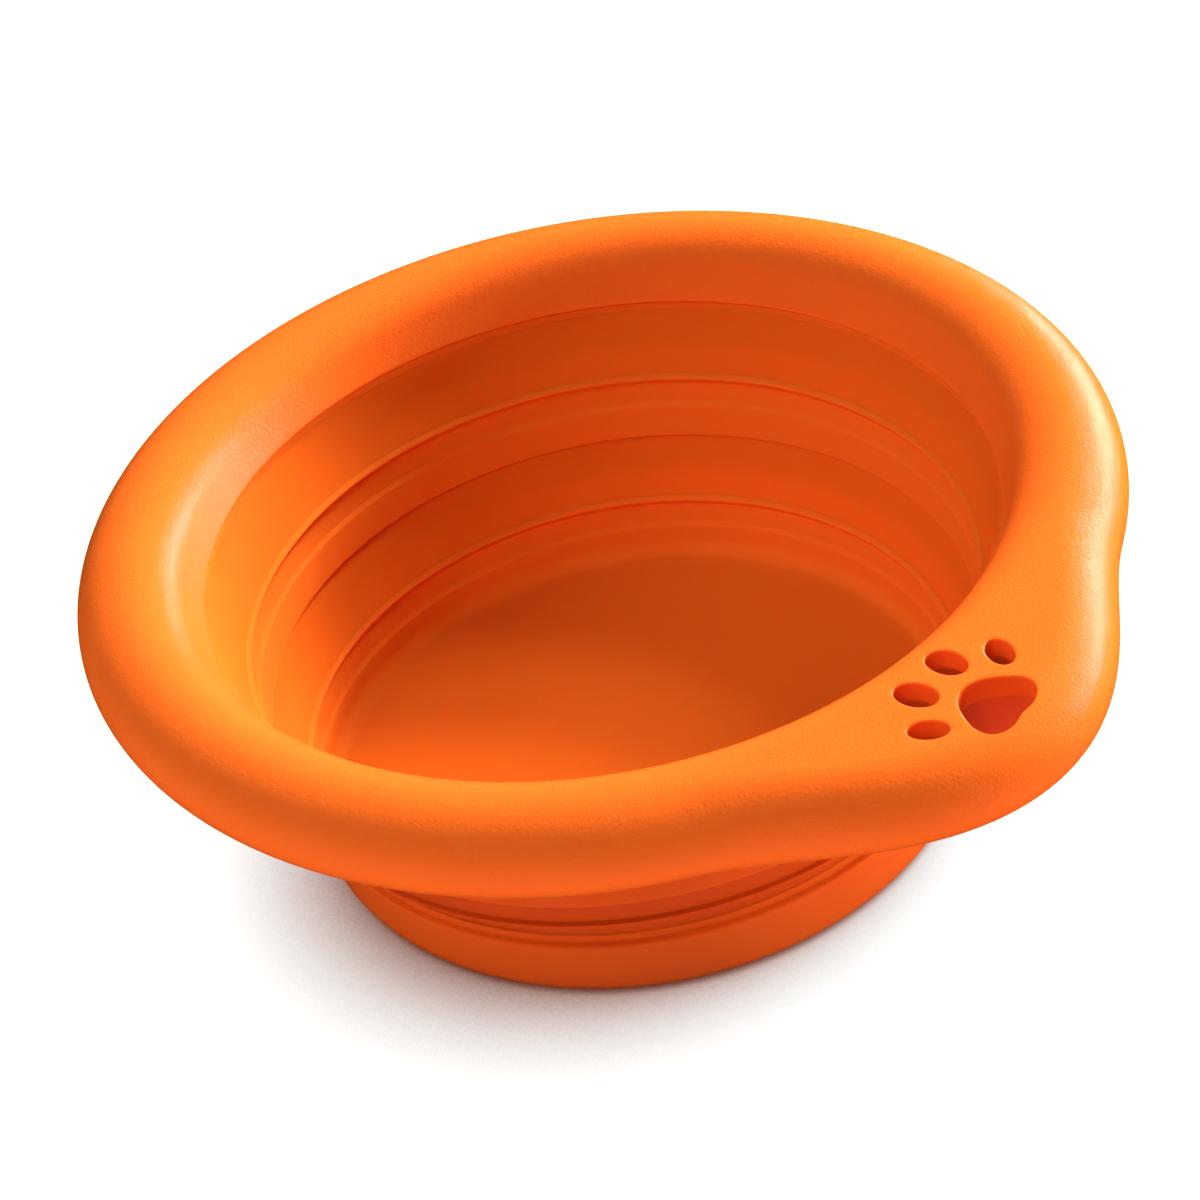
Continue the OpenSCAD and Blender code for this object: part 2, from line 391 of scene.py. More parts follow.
def finish_mesh(
    name: str, points: Outline, faces: Faces, material: Material,
    cut: tuple[Sequence[int], Material] | None = None,
) -> Object:
    """Makes a smooth closed object from points in millimetres.

    Args:
        name: The object's name.
        points: Corners, in millimetres.
        faces: Corner numbers of each face.
        material: Its material.
        cut: Numbers of the faces with a material of their own, and that material.

    Returns:
        The object, linked to the scene.
    """
    mesh = bpy.data.meshes.new(name)
    mesh.from_pydata((np.asarray(points) * MM).tolist(), [], [list(map(int, f)) for f in faces])
    mesh.materials.append(material)
    if cut:
        mesh.materials.append(cut[1])
        for number in cut[0]:
            mesh.polygons[number].material_index = 1
    work = bmesh.new()
    work.from_mesh(mesh)
    bmesh.ops.remove_doubles(work, verts=work.verts, dist=WELD_M)
    bmesh.ops.recalc_face_normals(work, faces=work.faces)
    for face in work.faces:
        face.smooth = True
    work.to_mesh(mesh)
    work.free()
    return add_object(name, mesh)


def ellipse_arc(centre: Point, half: Point, start: float, end: float, steps: int) -> list[Point]:
    """Points of an ellipse arc.

    Args:
        centre: Its centre.
        half: Its half-widths.
        start: First angle, in degrees.
        end: Last angle, in degrees.
        steps: Number of stretches.

    Returns:
        The points, both ends included.
    """
    angles = np.radians(np.linspace(start, end, steps + 1))
    return [(centre[0] + half[0] * math.cos(a), centre[1] + half[1] * math.sin(a)) for a in angles]


def soften(
    corners: Sequence[Corner], closed: bool, step: float = 1.2, turn: float = 12.0, cut_share: float = 0.49
) -> Outline:
    """Rounds the corners of an outline and divides its straight stretches.

    Args:
        corners: Each corner's two coordinates and its rounding radius.
        closed: Whether the last corner joins the first.
        step: Longest stretch that is left undivided.
        turn: Largest angle between two stretches of a rounding, in degrees.
        cut_share: Largest share of a straight stretch that one rounding takes.

    Returns:
        The points of the finished outline.
    """
    count = len(corners)
    place = [np.array(c[:2], float) for c in corners]
    rounds: list[list[np.ndarray]] = []
    for i, (here, corner) in enumerate(zip(place, corners)):
        if corner[2] <= 0 or (not closed and i in (0, count - 1)):
            rounds.append([here])
            continue
        back, ahead = place[i - 1] - here, place[(i + 1) % count] - here
        reach = min(np.linalg.norm(back), np.linalg.norm(ahead)) * cut_share
        back, ahead = back / np.linalg.norm(back), ahead / np.linalg.norm(ahead)
        bend = math.pi - math.acos(float(np.clip(back @ ahead, -1, 1)))
        if bend < STRAIGHT:
            rounds.append([here])
            continue
        cut = min(corner[2] * math.tan(bend / 2), reach)
        radius = cut / math.tan(bend / 2)
        inward = (back + ahead) / np.linalg.norm(back + ahead)
        centre = here + inward * math.hypot(cut, radius)
        a, b = here + back * cut - centre, here + ahead * cut - centre
        steps = max(2, math.ceil(math.degrees(bend) / turn))
        rounds.append([
            centre + (math.sin(bend * (1 - t)) * a + math.sin(bend * t) * b) / math.sin(bend)
            for t in np.linspace(0, 1, steps + 1)
        ])
    out: list[np.ndarray] = []
    for i, piece in enumerate(rounds):
        out.extend(piece)
        if i == count - 1 and not closed:
            break
        following = rounds[(i + 1) % count][0]
        gap = np.linalg.norm(following - piece[-1])
        parts = math.ceil(gap / step)
        out.extend(piece[-1] + (following - piece[-1]) * k / parts for k in range(1, parts))
    return np.array(out)


def rounded(corners: Sequence[Point], rounds: Rounds) -> list[Corner]:
    """Joins each corner with its rounding radius."""
    return [(*corner, radius) for corner, radius in zip(corners, rounds)]


def quad(i: int, j: int, columns: int, width: int) -> list[int]:
    """Corner numbers of the face beyond one point of a grid that closes both ways."""
    k, m = (i + 1) % columns * width, (j + 1) % width
    return [i * width + j, i * width + m, k + m, k + j]


def lathe(name: str, outline: Outline, closed: bool, material: Material, segments: int = 288) -> Object:
    """Turns an outline of radius and height round the bowl's axis.

    Args:
        name: The object's name.
        outline: Radius and height of each point.
        closed: Whether the outline is a ring section; otherwise it starts and ends on the axis.
        material: Its material.
        segments: Divisions of the full turn.

    Returns:
        The object.
    """
    angle = np.arange(segments) * 2 * math.pi / segments
    r, z = outline[:, 0], outline[:, 1]
    grid = np.stack([np.outer(np.cos(angle), r), np.outer(np.sin(angle), r), np.tile(z, (segments, 1))], -1)
    width = len(outline)
    faces: Faces = []
    for i in range(segments):
        for j in range(width if closed else width - 1):
            face = quad(i, j, segments, width)
            if r[j] < ON_AXIS_MM:
                face.pop(3)
            elif r[(j + 1) % width] < ON_AXIS_MM:
                face.pop(2)
            faces.append(face)
    return finish_mesh(name, grid.reshape(-1, 3), faces, material)


def winding(outline: Outline) -> float:
    """Twice the area within a closed outline, below zero where its points run clockwise."""
    x, y = outline[:, 0], outline[:, 1]
    return float(np.sum(x * np.roll(y, -1) - np.roll(x, -1) * y))


def grow(outline: Outline, by: float) -> Outline:
    """Moves a closed smooth outline outward.

    Args:
        outline: Its points in order.
        by: Distance outward.

    Returns:
        The moved points.
    """
    along = np.roll(outline, -1, 0) - np.roll(outline, 1, 0)
    normal = np.stack([along[:, 1], -along[:, 0]], 1) / np.linalg.norm(along, axis=1)[:, None]
    return outline + normal * by * math.copysign(1, winding(outline))


def turned(points: Outline, degrees: float) -> Outline:
    """Points turned about the origin, counter-clockwise."""
    a = math.radians(degrees)
    return points @ np.array([[math.cos(a), math.sin(a)], [-math.sin(a), math.cos(a)]])


def ring_faces(upper: Sequence[int], lower: Sequence[int]) -> Faces:
    """Faces between two loops of as many corner numbers."""
    count = len(upper)
    return [[upper[n], lower[n], lower[(n + 1) % count], upper[(n + 1) % count]] for n in range(count)]


@dataclass
class PawPrint:
    """The paw print that is cut through the hang tab: one broad pad and two mirrored pairs of toes."""

    pad_width: float = 14.0
    pad_x: float = 95.4
    turn: float = 11.0
    edge_round: float = 0.35
    pad_points: int = 112
    toe_points: int = 56
    pad_half_shares: tuple[Point, ...] = (
        (-0.42, 0.0), (-0.37, 0.16), (-0.27, 0.28), (-0.09, 0.41), (0.07, 0.48),
        (0.22, 0.46), (0.32, 0.35), (0.365, 0.19), (0.35, 0.0),
    )
    toe_shares: tuple[tuple[float, float, float, float, float], ...] = (
        (-0.82, 0.31, 0.54, 0.37, -5.0), (-0.385, 0.735, 0.47, 0.3, -32.0),
    )

    def _place(self, outline: Outline) -> Outline:
        """Moves an outline from the print's own place to the tab, its points counter-clockwise."""
        placed = turned(outline, self.turn) + (self.pad_x, 0.0)
        return placed if winding(placed) > 0 else placed[::-1]

    def _pad(self) -> Outline:
        """Smooth outline of the main pad, through its shares of the pad's width."""
        half = list(self.pad_half_shares)
        whole = np.array(half + [(x, -y) for x, y in half[-2:0:-1]])
        a, b, c, d = (np.roll(whole, shift, 0) for shift in (1, 0, -1, -2))
        steps = np.linspace(0, 1, self.pad_points // len(whole), endpoint=False)
        parts = [
            (2 * b + (c - a) * t + (2 * a - 5 * b + 4 * c - d) * t**2 + (3 * b - a - 3 * c + d) * t**3) / 2
            for t in steps
        ]
        return np.stack(parts, 1).reshape(-1, 2) * self.pad_width

    def outlines(self) -> list[Outline]:
        """Outlines of the five cut-outs.

        Returns:
            For each cut-out its points on the tab.
        """
        found = [self._place(self._pad())]
        angle = np.linspace(0, 2 * math.pi, self.toe_points, endpoint=False)
        for along, across, length, width, lean in self.toe_shares:
            for side in (-1, 1):
                oval = np.stack([np.cos(angle) * length / 2, np.sin(angle) * width / 2], 1)
                toe = turned(oval, side * lean) + (along, side * across)
                found.append(self._place(toe * self.pad_width))
        return found


def inside(points: Outline, loop: Outline) -> np.ndarray:
    """Tells which points lie within a closed outline.

    Args:
        points: The points to test.
        loop: The outline's points in order.

    Returns:
        One truth value for each point.
    """
    x, y = points[:, :1], points[:, 1:]
    ax, ay = loop[:, 0], loop[:, 1]
    bx, by = np.roll(ax, -1), np.roll(ay, -1)
    crossing = (ay > y) != (by > y)
    rise = np.where(by == ay, 1.0, by - ay)
    return (np.sum(crossing & (x < (bx - ax) * (y - ay) / rise + ax), axis=1) % 2).astype(bool)


def between(points: Outline, edge: Outline, holes: Sequence[Outline]) -> np.ndarray:
    """Tells which points lie within an edge and in none of the holes."""
    return inside(points, edge) & ~np.any([inside(points, hole) for hole in holes], axis=0)


@dataclass
class RimCover:
    """Soft grained cover of the rim: a rounded section that widens into a hang tab, cut by the paw print."""

    lip_r: float = 70.0
    lip_z: float = 55.0
    width: float = 19.7
    height: float = 16.0
    flank_lean: float = 2.5
    flank_h: float = 3.15
    curl: float = 50.0
    top_t: float = 4.0
    side_t: float = 4.8
    flank_t: float = 5.7
    tab_reach: float = 15.0
    tab_half_angle: float = 32.5
    lip_round: float = 0.5
    hem_drop: float = 0.64
    hem_round: float = 0.9
    columns: int = 504
    arc_steps: tuple[int, int] = (60, 80)
    top_rows: int = 44
    flank_step: float = 0.9
    curl_steps: int = 16
    hem_step: float = 1.5
    inner_rows: int = 6
    ceiling_steps: int = 12
    patch_angle: float = 13.5
    patch_rows: tuple[int, int] = (4, 34)
    patch_margin: float = 1.4
    patch_rings: tuple[Point, ...] = ((0.45, 1), (0.95, 2))
    pinch: float = 0.0004
    edge_steps: int = 7
    wall_steps: int = 6
    wall_end: float = 0.05
    print_cut: PawPrint = field(default_factory=PawPrint)

    @property
    def half(self) -> Point:
        """Half-widths of the section's rounded ends."""
        return self.width / 2, self.height / 2

    @property
    def mid_z(self) -> float:
        """Height of the rim's widest line."""
        return self.lip_z + self.flank_h

    @property
    def cavity_z(self) -> float:
        """Height of the cavity's ceiling."""
        return self.mid_z + self.height / 2 - self.top_t

    def outer_r(self, angle: float) -> float:
        """Outer radius of the rim at an angle from the tab's middle, in degrees."""
        off = abs((angle + 180) % 360 - 180)
        share = (1 + math.cos(math.pi * off / self.tab_half_angle)) / 2 if off < self.tab_half_angle else 0.0
        return self.lip_r + self.flank_lean + self.width + self.tab_reach * share

    def _top(self, outer: float) -> Outline:
        """The section's upper stretch, from the flank to the widest line, evenly divided."""
        a, b = self.half
        inner_x = self.lip_r + self.flank_lean + a
        u, v = (self.lip_r - inner_x) / a, (self.lip_z - self.mid_z) / b
        touch = math.degrees(math.atan2(v, u)) + 360 - math.degrees(math.acos(1 / math.hypot(u, v)))
        path = np.array(
            ellipse_arc((inner_x, self.mid_z), (a, b), touch, 90, self.arc_steps[0])
            + ellipse_arc((outer - a, self.mid_z), (a, b), 90, 0, self.arc_steps[1])
        )
        length = np.concatenate([[0], np.cumsum(np.linalg.norm(np.diff(path, axis=0), axis=1))])
        at = np.linspace(0, length[-1], self.top_rows + 1)
        return np.stack([np.interp(at, length, path[:, k]) for k in (0, 1)], 1)

    def _flank(self, top_start: Outline) -> Outline:
        """The fixed stretch from the cavity's foot over the lip's rounded edge up the flank."""
        corners = [(self.lip_r + self.flank_t, self.lip_z, 0), (self.lip_r, self.lip_z, self.lip_round),
                   (top_start[0], top_start[1], 0)]
        return soften(corners, closed=False, step=self.flank_step)[:-1]

    def _hem(self, outer: float) -> Outline:
        """The stretch that curls under from the widest line, round the hem, to the cavity's outer wall."""
        a, b = self.half
        *arc, end = ellipse_arc((outer - a, self.mid_z), (a, b), 0, -self.curl, self.curl_steps)[1:]
        side = outer - self.side_t
        hem = soften(
            [(*arc[-1], 0), (*end, self.hem_round),
             ((end[0] + side) / 2, end[1] - self.hem_drop, self.hem_round),
             (side, end[1], self.hem_round / 2), (side, self.cavity_z, 0)],
            closed=False, step=self.hem_step,
        )
        return np.array(arc[:-1] + hem[:-1].tolist())

    def _ceiling(self, outer: float) -> Outline:
        """The cavity's ceiling, from its outer wall to its inner wall."""
        side, inner = outer - self.side_t, self.lip_r + self.flank_t
        count = self.ceiling_steps + 1
        return np.stack([np.linspace(side, inner, count), np.full(count, self.cavity_z)], 1)

    def _inner_wall(self) -> Outline:
        """The cavity's inner wall, down to its foot, without its ends."""
        foot = self.lip_r + self.flank_t
        return np.array([(foot, z) for z in np.linspace(self.cavity_z, self.lip_z, self.inner_rows)[1:-1]])

    def top_z(self, plan: Outline) -> np.ndarray:
        """Height of the rim's upper surface over points of the plan.

        Args:
            plan: The points, in millimetres.

        Returns:
            The height over each.
        """
        a, b = self.half
        r = np.hypot(plan[:, 0], plan[:, 1])
        outer = np.array([self.outer_r(p) for p in np.degrees(np.arctan2(plan[:, 1], plan[:, 0]))])
        inner_x, outer_x = self.lip_r + self.flank_lean + a, outer - a
        off = np.where(r < inner_x, inner_x - r, np.where(r > outer_x, r - outer_x, 0.0))
        return self.mid_z + b * np.sqrt(np.clip(1 - (off / a) ** 2, 0, 1))

    def _region(self, grid: np.ndarray, cols: tuple[int, int], rows: tuple[int, int]) -> Region:
        """The stretch of the sections, seen in plan, that the paw print goes through. The points of its two
        straight sides are moved a hair inward, so that no triangle lies along them.

        Args:
            grid: The points of all sections.
            cols: Its first and last column.
            rows: Its first and last row.

        Returns:
            Its boundary, the mesh numbers of the boundary's points, and the points within.
        """
        (c0, c1), (a, b), width = cols, rows, grid.shape[1]
        cells = (
            [(i, a) for i in range(c0, c1)] + [(c1, j) for j in range(a, b)]
            + [(i, b) for i in range(c1, c0, -1)] + [(c0, j) for j in range(b, a, -1)]
        )
        i, j = np.array(cells).T
        edge, side = grid[i, j, :2], (i == c0).astype(int) - (i == c1)
        turn = side * self.pinch * np.sin(math.pi * (j - a) / (b - a))
        edge = edge + turn[:, None] * np.stack([-edge[:, 1], edge[:, 0]], 1)
        spare = grid[c0 + 1 : c1, a + 1 : b, :2].reshape(-1, 2)
        return edge, (i * width + j).tolist(), spare

    def _patch(
        self, region: Region, holes: list[Outline], first_id: int, height: Callable[[Outline], np.ndarray]
    ) -> tuple[Outline, Faces, Faces]:
        """Fills a region of the plan with triangles round the cut-outs.

        Args:
            region: Its boundary, the mesh numbers of the boundary's points, and points that may be used.
            holes: Outlines that stay open.
            first_id: Mesh number of the first new point.
            height: Gives the height over points of the plan.

        Returns:
            New points, faces, and the mesh numbers of each cut-out's points.
        """
        edge, edge_ids, spare = region
        gap = np.linalg.norm(spare[:, None] - np.concatenate(holes)[None], axis=2).min(1)
        rings = [grow(h, self.patch_margin * d)[::skip] for h in holes for d, skip in self.patch_rings]
        extra = np.concatenate([spare[gap > self.patch_margin]] + rings)
        points = np.concatenate([edge, *holes, extra[between(extra, edge, holes)]])
        links, numbers, start = [], [], 0
        for loop in (edge, *holes):
            n = len(loop)
            links += [(start + i, start + (i + 1) % n) for i in range(n)]
            numbers.append([first_id + start - len(edge) + i for i in range(n)])
            start += n
        made = delaunay_2d_cdt([Vector(p) for p in points], links, [], 0, WELD_M, True)
        origin = [o[0] if o else -1 for o in made[3]]
        plan = np.array([tuple(v) for v in made[0]])
        triangles = np.array([t for t in made[2] if len(t) == 3])
        wanted = between(plan[triangles].mean(1), edge, holes)
        ids = [edge_ids[o] if o < len(edge) else first_id + o - len(edge) for o in origin]
        faces = [[ids[k] for k in t] for t in triangles[wanted]]
        new = points[len(edge) :]
        return np.column_stack([new, height(new)]), faces, numbers[1:]

    def _wall(
        self, outline: Outline, top_ids: list[int], low_ids: list[int], first_id: int
    ) -> tuple[Outline, Faces, int]:
        """Lines a cut-out, from its rounded upper edge down to the cavity.

        Args:
            outline: The cut-out's outline.
            top_ids: Mesh numbers of its points in the upper surface.
            low_ids: Mesh numbers of its points in the cavity's ceiling.
            first_id: Mesh number of the first new point.

        Returns:
            New points, faces, and how many of the faces belong to the rounded edge.
        """
        ease, start_z, count = self.print_cut.edge_round, self.top_z(outline), len(outline)
        bend = np.radians(np.linspace(0, 90, self.edge_steps + 1))[1:]
        depth = float(start_z.mean()) - self.cavity_z
        levels = [(ease * (1 - math.sin(t)), ease * (1 - math.cos(t))) for t in bend]
        levels += [(0.0, drop) for drop in np.linspace(ease, depth, self.wall_steps + 1)[1:-1]]
        points, faces, previous = [], [], top_ids
        for k, (out, drop) in enumerate(levels):
            plan = grow(outline, out)
            z = (self.top_z(plan) if k < self.edge_steps else start_z) - drop
            points.append(np.column_stack([plan, np.maximum(z, self.cavity_z + self.wall_end)]))
            ids = list(range(first_id + k * count, first_id + (k + 1) * count))
            faces += ring_faces(previous, ids)
            previous = ids
        return np.concatenate(points), faces + ring_faces(previous, low_ids), self.edge_steps * count

    def _grid(self) -> tuple[np.ndarray, np.ndarray, list[int]]:
        """The cover's sections, side by side round the axis.

        Returns:
            Each section's angle in degrees, its points, and the number of points in each of its stretches.
        """
        angles = np.arange(self.columns) * 360 / self.columns - 180
        rows = []
        for angle in angles:
            outer = self.outer_r(angle)
            top = self._top(outer)
            parts = [self._flank(top[0]), top, self._hem(outer), self._ceiling(outer), self._inner_wall()]
            rows.append(np.concatenate(parts))
        section, turn = np.array(rows), np.radians(angles)[:, None]
        flat = [section[..., 0] * np.cos(turn), section[..., 0] * np.sin(turn)]
        return angles, np.stack([*flat, section[..., 1]], -1), [len(part) for part in parts]

    def build(self, material: Material, cut_material: Material) -> Object:
        """Builds the cover.

        Args:
            material: The grained rubber.
            cut_material: The rubber of the cut-outs' walls, a deeper copy that paints the shade inside the
                cut-outs.

        Returns:
            The object.
        """
        angles, grid, sizes = self._grid()
        width = grid.shape[1]
        tab = np.nonzero(np.abs(angles) <= self.patch_angle)[0]
        cols = int(tab[0]), int(tab[-1])
        ceiling = sum(sizes[:3])
        top_rows = sizes[0] + self.patch_rows[0], sizes[0] + self.patch_rows[1]
        ceiling_rows = ceiling, ceiling + sizes[3] - 1
        taken = {(i, j) for i in range(*cols) for rows in (top_rows, ceiling_rows) for j in range(*rows)}
        faces = [
            quad(i, j, self.columns, width) for i in range(self.columns) for j in range(width)
            if (i, j) not in taken
        ]
        points, count = [grid.reshape(-1, 3)], self.columns * width
        outlines, loops = self.print_cut.outlines(), []
        for rows, reach, height in (
            (top_rows, self.print_cut.edge_round, self.top_z),
            (ceiling_rows, 0.0, lambda plan: np.full(len(plan), self.cavity_z)),
        ):
            holes = [grow(outline, reach) for outline in outlines]
            new, made, numbers = self._patch(self._region(grid, cols, rows), holes, count, height)
            points.append(new)
            faces += made
            loops.append(numbers)
            count += len(new)
        walls: list[int] = []
        for outline, top_ids, low_ids in zip(outlines, *loops):
            new, made, eased = self._wall(outline, top_ids, low_ids, count)
            walls += range(len(faces) + eased, len(faces) + len(made))
            points.append(new)
            faces += made
            count += len(new)
        cut = walls, cut_material
        return finish_mesh("grained_rim_cover", np.concatenate(points), faces, material, cut)

    def dress(self, finish: GrainedRubber, cut: GrainedRubber) -> None:
        """Builds the cover in its finish, in place of its plain solid.

        Args:
            finish: The rim's finish.
            cut: The finish of the cut-outs' walls, a deeper copy that paints the shade inside the cut-outs.
        """
        cover = self.build(finish.material(), cut.material())
        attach(cover, "rim")
        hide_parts("rim_cover")
        log.info("rim cover: %d faces", len(cover.data.polygons))


@dataclass
class SiliconeBowl:
    """The silicone moulding: collar, two fold webs, middle band and base cup, each a turned form."""

    lip_r: float = 70.0
    band_inset: float = 5.7
    cup_inset: float = 5.7
    band_draft: float = 0.7
    cup_band_h: float = 9.0
    band_h: float = 6.7
    lower_fold_h: float = 11.6
    upper_fold_h: float = 11.5
    fold_t: float = 1.2
    fold_bow: float = 0.6
    groove_h: float = 5.3
    groove_d: float = 1.0
    bead_r: float = 0.9
    bead_proud: float = 0.27
    bead_fall: float = 1.5
    bead_steps: int = 21
    root_set: float = 0.12
    groove_edge_share: float = 0.55
    groove_edge_h: float = 0.8
    groove_back_h: float = 0.5
    web_lean: float = 0.65
    ridge_h: float = 0.95
    ridge_edge: float = 0.55
    ridge_face: float = 1.5
    hollow_d: float = 0.45
    ridge_share: float = 0.52
    web_steps: int = 108
    shoulder_t: float = 2.7
    step_w: float = 0.9
    recess_t: float = 0.6
    recess_foot_h: float = 0.35
    ledge_drop: float = 0.9
    floor_t: float = 3.0
    corner_r: float = 3.0
    foot_round: float = 4.5
    groove_rounds: Rounds = (0.5, 0.6, 1.6)
    shoulder_rounds: Rounds = (0.2, 0.5, 0.4, 0.6)
    band_rounds: Rounds = (0.3, 0.7)
    collar_rounds: Rounds = (0.2, 0.4, 0.5, 0.3, 0.3, 0.3)
    cup_lean: float = 1.3
    collar_t: float = 1.9
    collar_leg_t: float = 1.5
    collar_leg_h: float = 5.0
    cover_flank_t: float = 5.7
    bond_gap: float = 0.1
    tuck: float = 0.8
    tuck_in: float = 0.15
    tuck_out: float = 0.1

    @property
    def cup_head_z(self) -> float:
        """Top of the base cup's head."""
        return self.cup_band_h + self.groove_h + 2 * self.bead_r

    @property
    def band_foot_z(self) -> float:
        """Underside of the middle band."""
        return self.cup_head_z + self.lower_fold_h

    @property
    def band_line_z(self) -> float:
        """Groove line of the middle band."""
        return self.band_foot_z + self.band_h

    @property
    def band_head_z(self) -> float:
        """Top of the middle band's head."""
        return self.band_line_z + self.groove_h + 2 * self.bead_r

    @property
    def collar_z(self) -> float:
        """Underside of the collar."""
        return self.band_head_z + self.upper_fold_h

    @property
    def band_line_r(self) -> float:
        """Radius of the middle band's groove line."""
        return self.lip_r - self.band_inset + self.band_draft

    @property
    def cup_line_r(self) -> float:
        """Radius of the base cup's groove line."""
        return self.band_line_r - self.cup_inset

    def _root_r(self, line_r: float) -> float:
        """Inner radius of a fold web's root above a groove line."""
        return line_r + self.groove_d + self.root_set

    def _head(self, line_r: float, line_z: float) -> list[Corner]:
        """A head's corners, up the inside and down the outside: groove, bead, web root and shoulder.

        Args:
            line_r: Radius of the groove line.
            line_z: Height of the groove line.

        Returns:
            Corners with their rounding radii.
        """
        bead_z = line_z + self.groove_h + self.bead_r
        root, groove_r = self._root_r(line_r), line_r + self.groove_d
        crest = groove_r - self.bead_r + self.bead_proud
        off = np.linspace(-self.bead_fall, self.bead_r, self.bead_steps + 1)
        under = groove_r - (groove_r - crest) * (1 + np.cos(math.pi * off / self.bead_fall)) / 2
        t = np.clip(off / self.bead_r, 0, 1)
        over = crest + (root - crest) * (3 - 2 * t) * t**2 + self.web_lean * self.bead_r * (t**3 - t**2)
        bead = [(x, bead_z + z, 0.0) for x, z in zip(np.where(off > 0, over, under), off)]
        recess, shoulder = groove_r + self.recess_t, line_r + self.shoulder_t
        ledge_z = line_z + self.groove_h - self.ledge_drop
        groove = [
            (line_r, line_z),
            (line_r + self.groove_d * self.groove_edge_share, line_z + self.groove_edge_h),
            (groove_r, bead_z - self.bead_fall - self.groove_back_h),
        ]
        step = [
            (root + self.fold_t - self.hollow_d, bead_z + self.bead_r), (recess, bead_z),
            (recess, ledge_z + self.recess_foot_h), (shoulder, ledge_z),
        ]
        return rounded(groove, self.groove_rounds) + bead + rounded(step, self.shoulder_rounds)

    def _web(self, name: str, low: Point, high: Point, material: Material) -> Object:
        """A fold web: a thin bowed cone with a slim ridge outside, its ends tucked into what it joins.

        Args:
            name: The object's name.
            low: Inner radius and height of its lower end.
            high: Inner radius and height of its upper end.
            material: The silicone.

        Returns:
            The object.
        """
        t = np.linspace(0, 1, self.web_steps + 1)
        (low_r, low_z), (high_r, high_z) = low, high
        inner = np.array(low) + (np.array(high) - np.array(low)) * t[:, None]
        inner[:, 0] += self.fold_bow * 4 * t * (1 - t)
        along = math.hypot(high_r - low_r, high_z - low_z) * (t - self.ridge_share)
        above, below = (
            (1 - np.cos(math.pi * np.clip(off / self.ridge_edge, 0, 1))) / 2
            for off in (along, along + self.ridge_face)
        )
        thin = self.fold_t - self.hollow_d
        thick = thin + (self.ridge_h + self.hollow_d) * below - self.ridge_h * above
        outer = inner + np.stack([thick, np.zeros_like(thick)], 1)
        foot_z, head_z = low_z - self.tuck, high_z + self.tuck
        outline = np.concatenate([
            [[low_r + self.tuck_in, foot_z]], inner,
            [[high_r + self.tuck_in, head_z], [high_r + self.fold_t - self.tuck_in, head_z]],
            outer[::-1], [[low_r + thin - self.tuck_out, foot_z]],
        ])
        return lathe(name, outline, True, material)

    def _collar(self, material: Material) -> Object:
        """The clamped collar: a flange whose inner edge is the lip, with a leg up inside the rim."""
        under, over = self.collar_z, self.collar_z + self.collar_t
        leg = self.lip_r + self.cover_flank_t + self.bond_gap
        leg_out, leg_top = leg + self.collar_leg_t, over + self.bond_gap + self.collar_leg_h
        corners = rounded([
            (self.lip_r + self.step_w, over), (self.lip_r + self.step_w, under),
            (leg_out, under), (leg_out, leg_top), (leg, leg_top), (leg, over),
        ], self.collar_rounds)
        return lathe("silicone_collar", soften(corners, closed=True), True, material)

    def _band(self, material: Material) -> Object:
        """The thick middle band with its head."""
        foot, side = rounded([
            (self.lip_r - self.band_inset, self.band_foot_z),
            (self.band_line_r + self.shoulder_t - self.band_draft, self.band_foot_z),
        ], self.band_rounds)
        corners = [foot, *self._head(self.band_line_r, self.band_line_z), side]
        return lathe("silicone_middle_band", soften(corners, closed=True), True, material)

    def _cup(self, material: Material) -> Object:
        """The base cup: floor, band, head and the flat foot that the bowl rests on."""
        floor = [(0, self.floor_t, 0), (self.cup_line_r - self.band_draft / 2, self.floor_t, self.corner_r)]
        foot = [(self.cup_line_r + self.shoulder_t - self.cup_lean, 0, self.foot_round), (0, 0, 0)]
        corners = floor + self._head(self.cup_line_r, self.cup_band_h) + foot
        return lathe("silicone_base_cup", soften(corners, closed=False), False, material)

    def dress(self, finish: SmoothSilicone, webs: SmoothSilicone) -> None:
        """Builds the five zones in their finish, in place of their plain solids.

        Args:
            finish: The finish of the thick rings and the cup.
            webs: The finish of the thin webs, a deeper copy that paints the shade they lie in under the lip
                and the band.
        """
        silicone, thin = finish.material(), webs.material()
        pieces: list[tuple[Object, str]] = []
        for piece, body, node in (
            (self._collar(silicone), "rim", "collar"), (self._band(silicone), "middle", "middle_band"),
            (self._cup(silicone), "base", "base_cup"),
        ):
            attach(piece, body)
            pieces.append((piece, node))
        upper = (self._root_r(self.band_line_r), self.band_head_z), (self.lip_r + self.step_w, self.collar_z)
        lower = (self._root_r(self.cup_line_r), self.cup_head_z), (
            self.lip_r - self.band_inset + self.step_w, self.band_foot_z
        )
        for node, low, high, ends in (
            ("upper_fold", "middle", "rim", upper), ("lower_fold", "base", "middle", lower),
        ):
            piece = self._web(f"silicone_{node}", *ends, thin)
            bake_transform(piece)
            pieces.append((piece, node))
        for piece, node in pieces:
            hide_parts(node)
            log.info("%s: %d faces", piece.name, len(piece.data.polygons))


@dataclass
class RimFrame:
    """The stiff hoop inside the rim, whose plain solid is right as it is and gets its finish."""

    node: str = "rim_frame"

    def dress(self, finish: MouldedPolypropylene) -> None:
        """Gives the hoop its moulded finish.

        Args:
            finish: The hoop's finish.
        """
        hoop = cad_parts[self.node]
        hoop.data.materials.clear()
        hoop.data.materials.append(finish.material())
        log.info("rim frame: %d faces", len(hoop.data.polygons))


class LampShape(Enum):
    """Outline of a studio lamp."""

    DISK = "DISK"
    STRIP = "RECTANGLE"


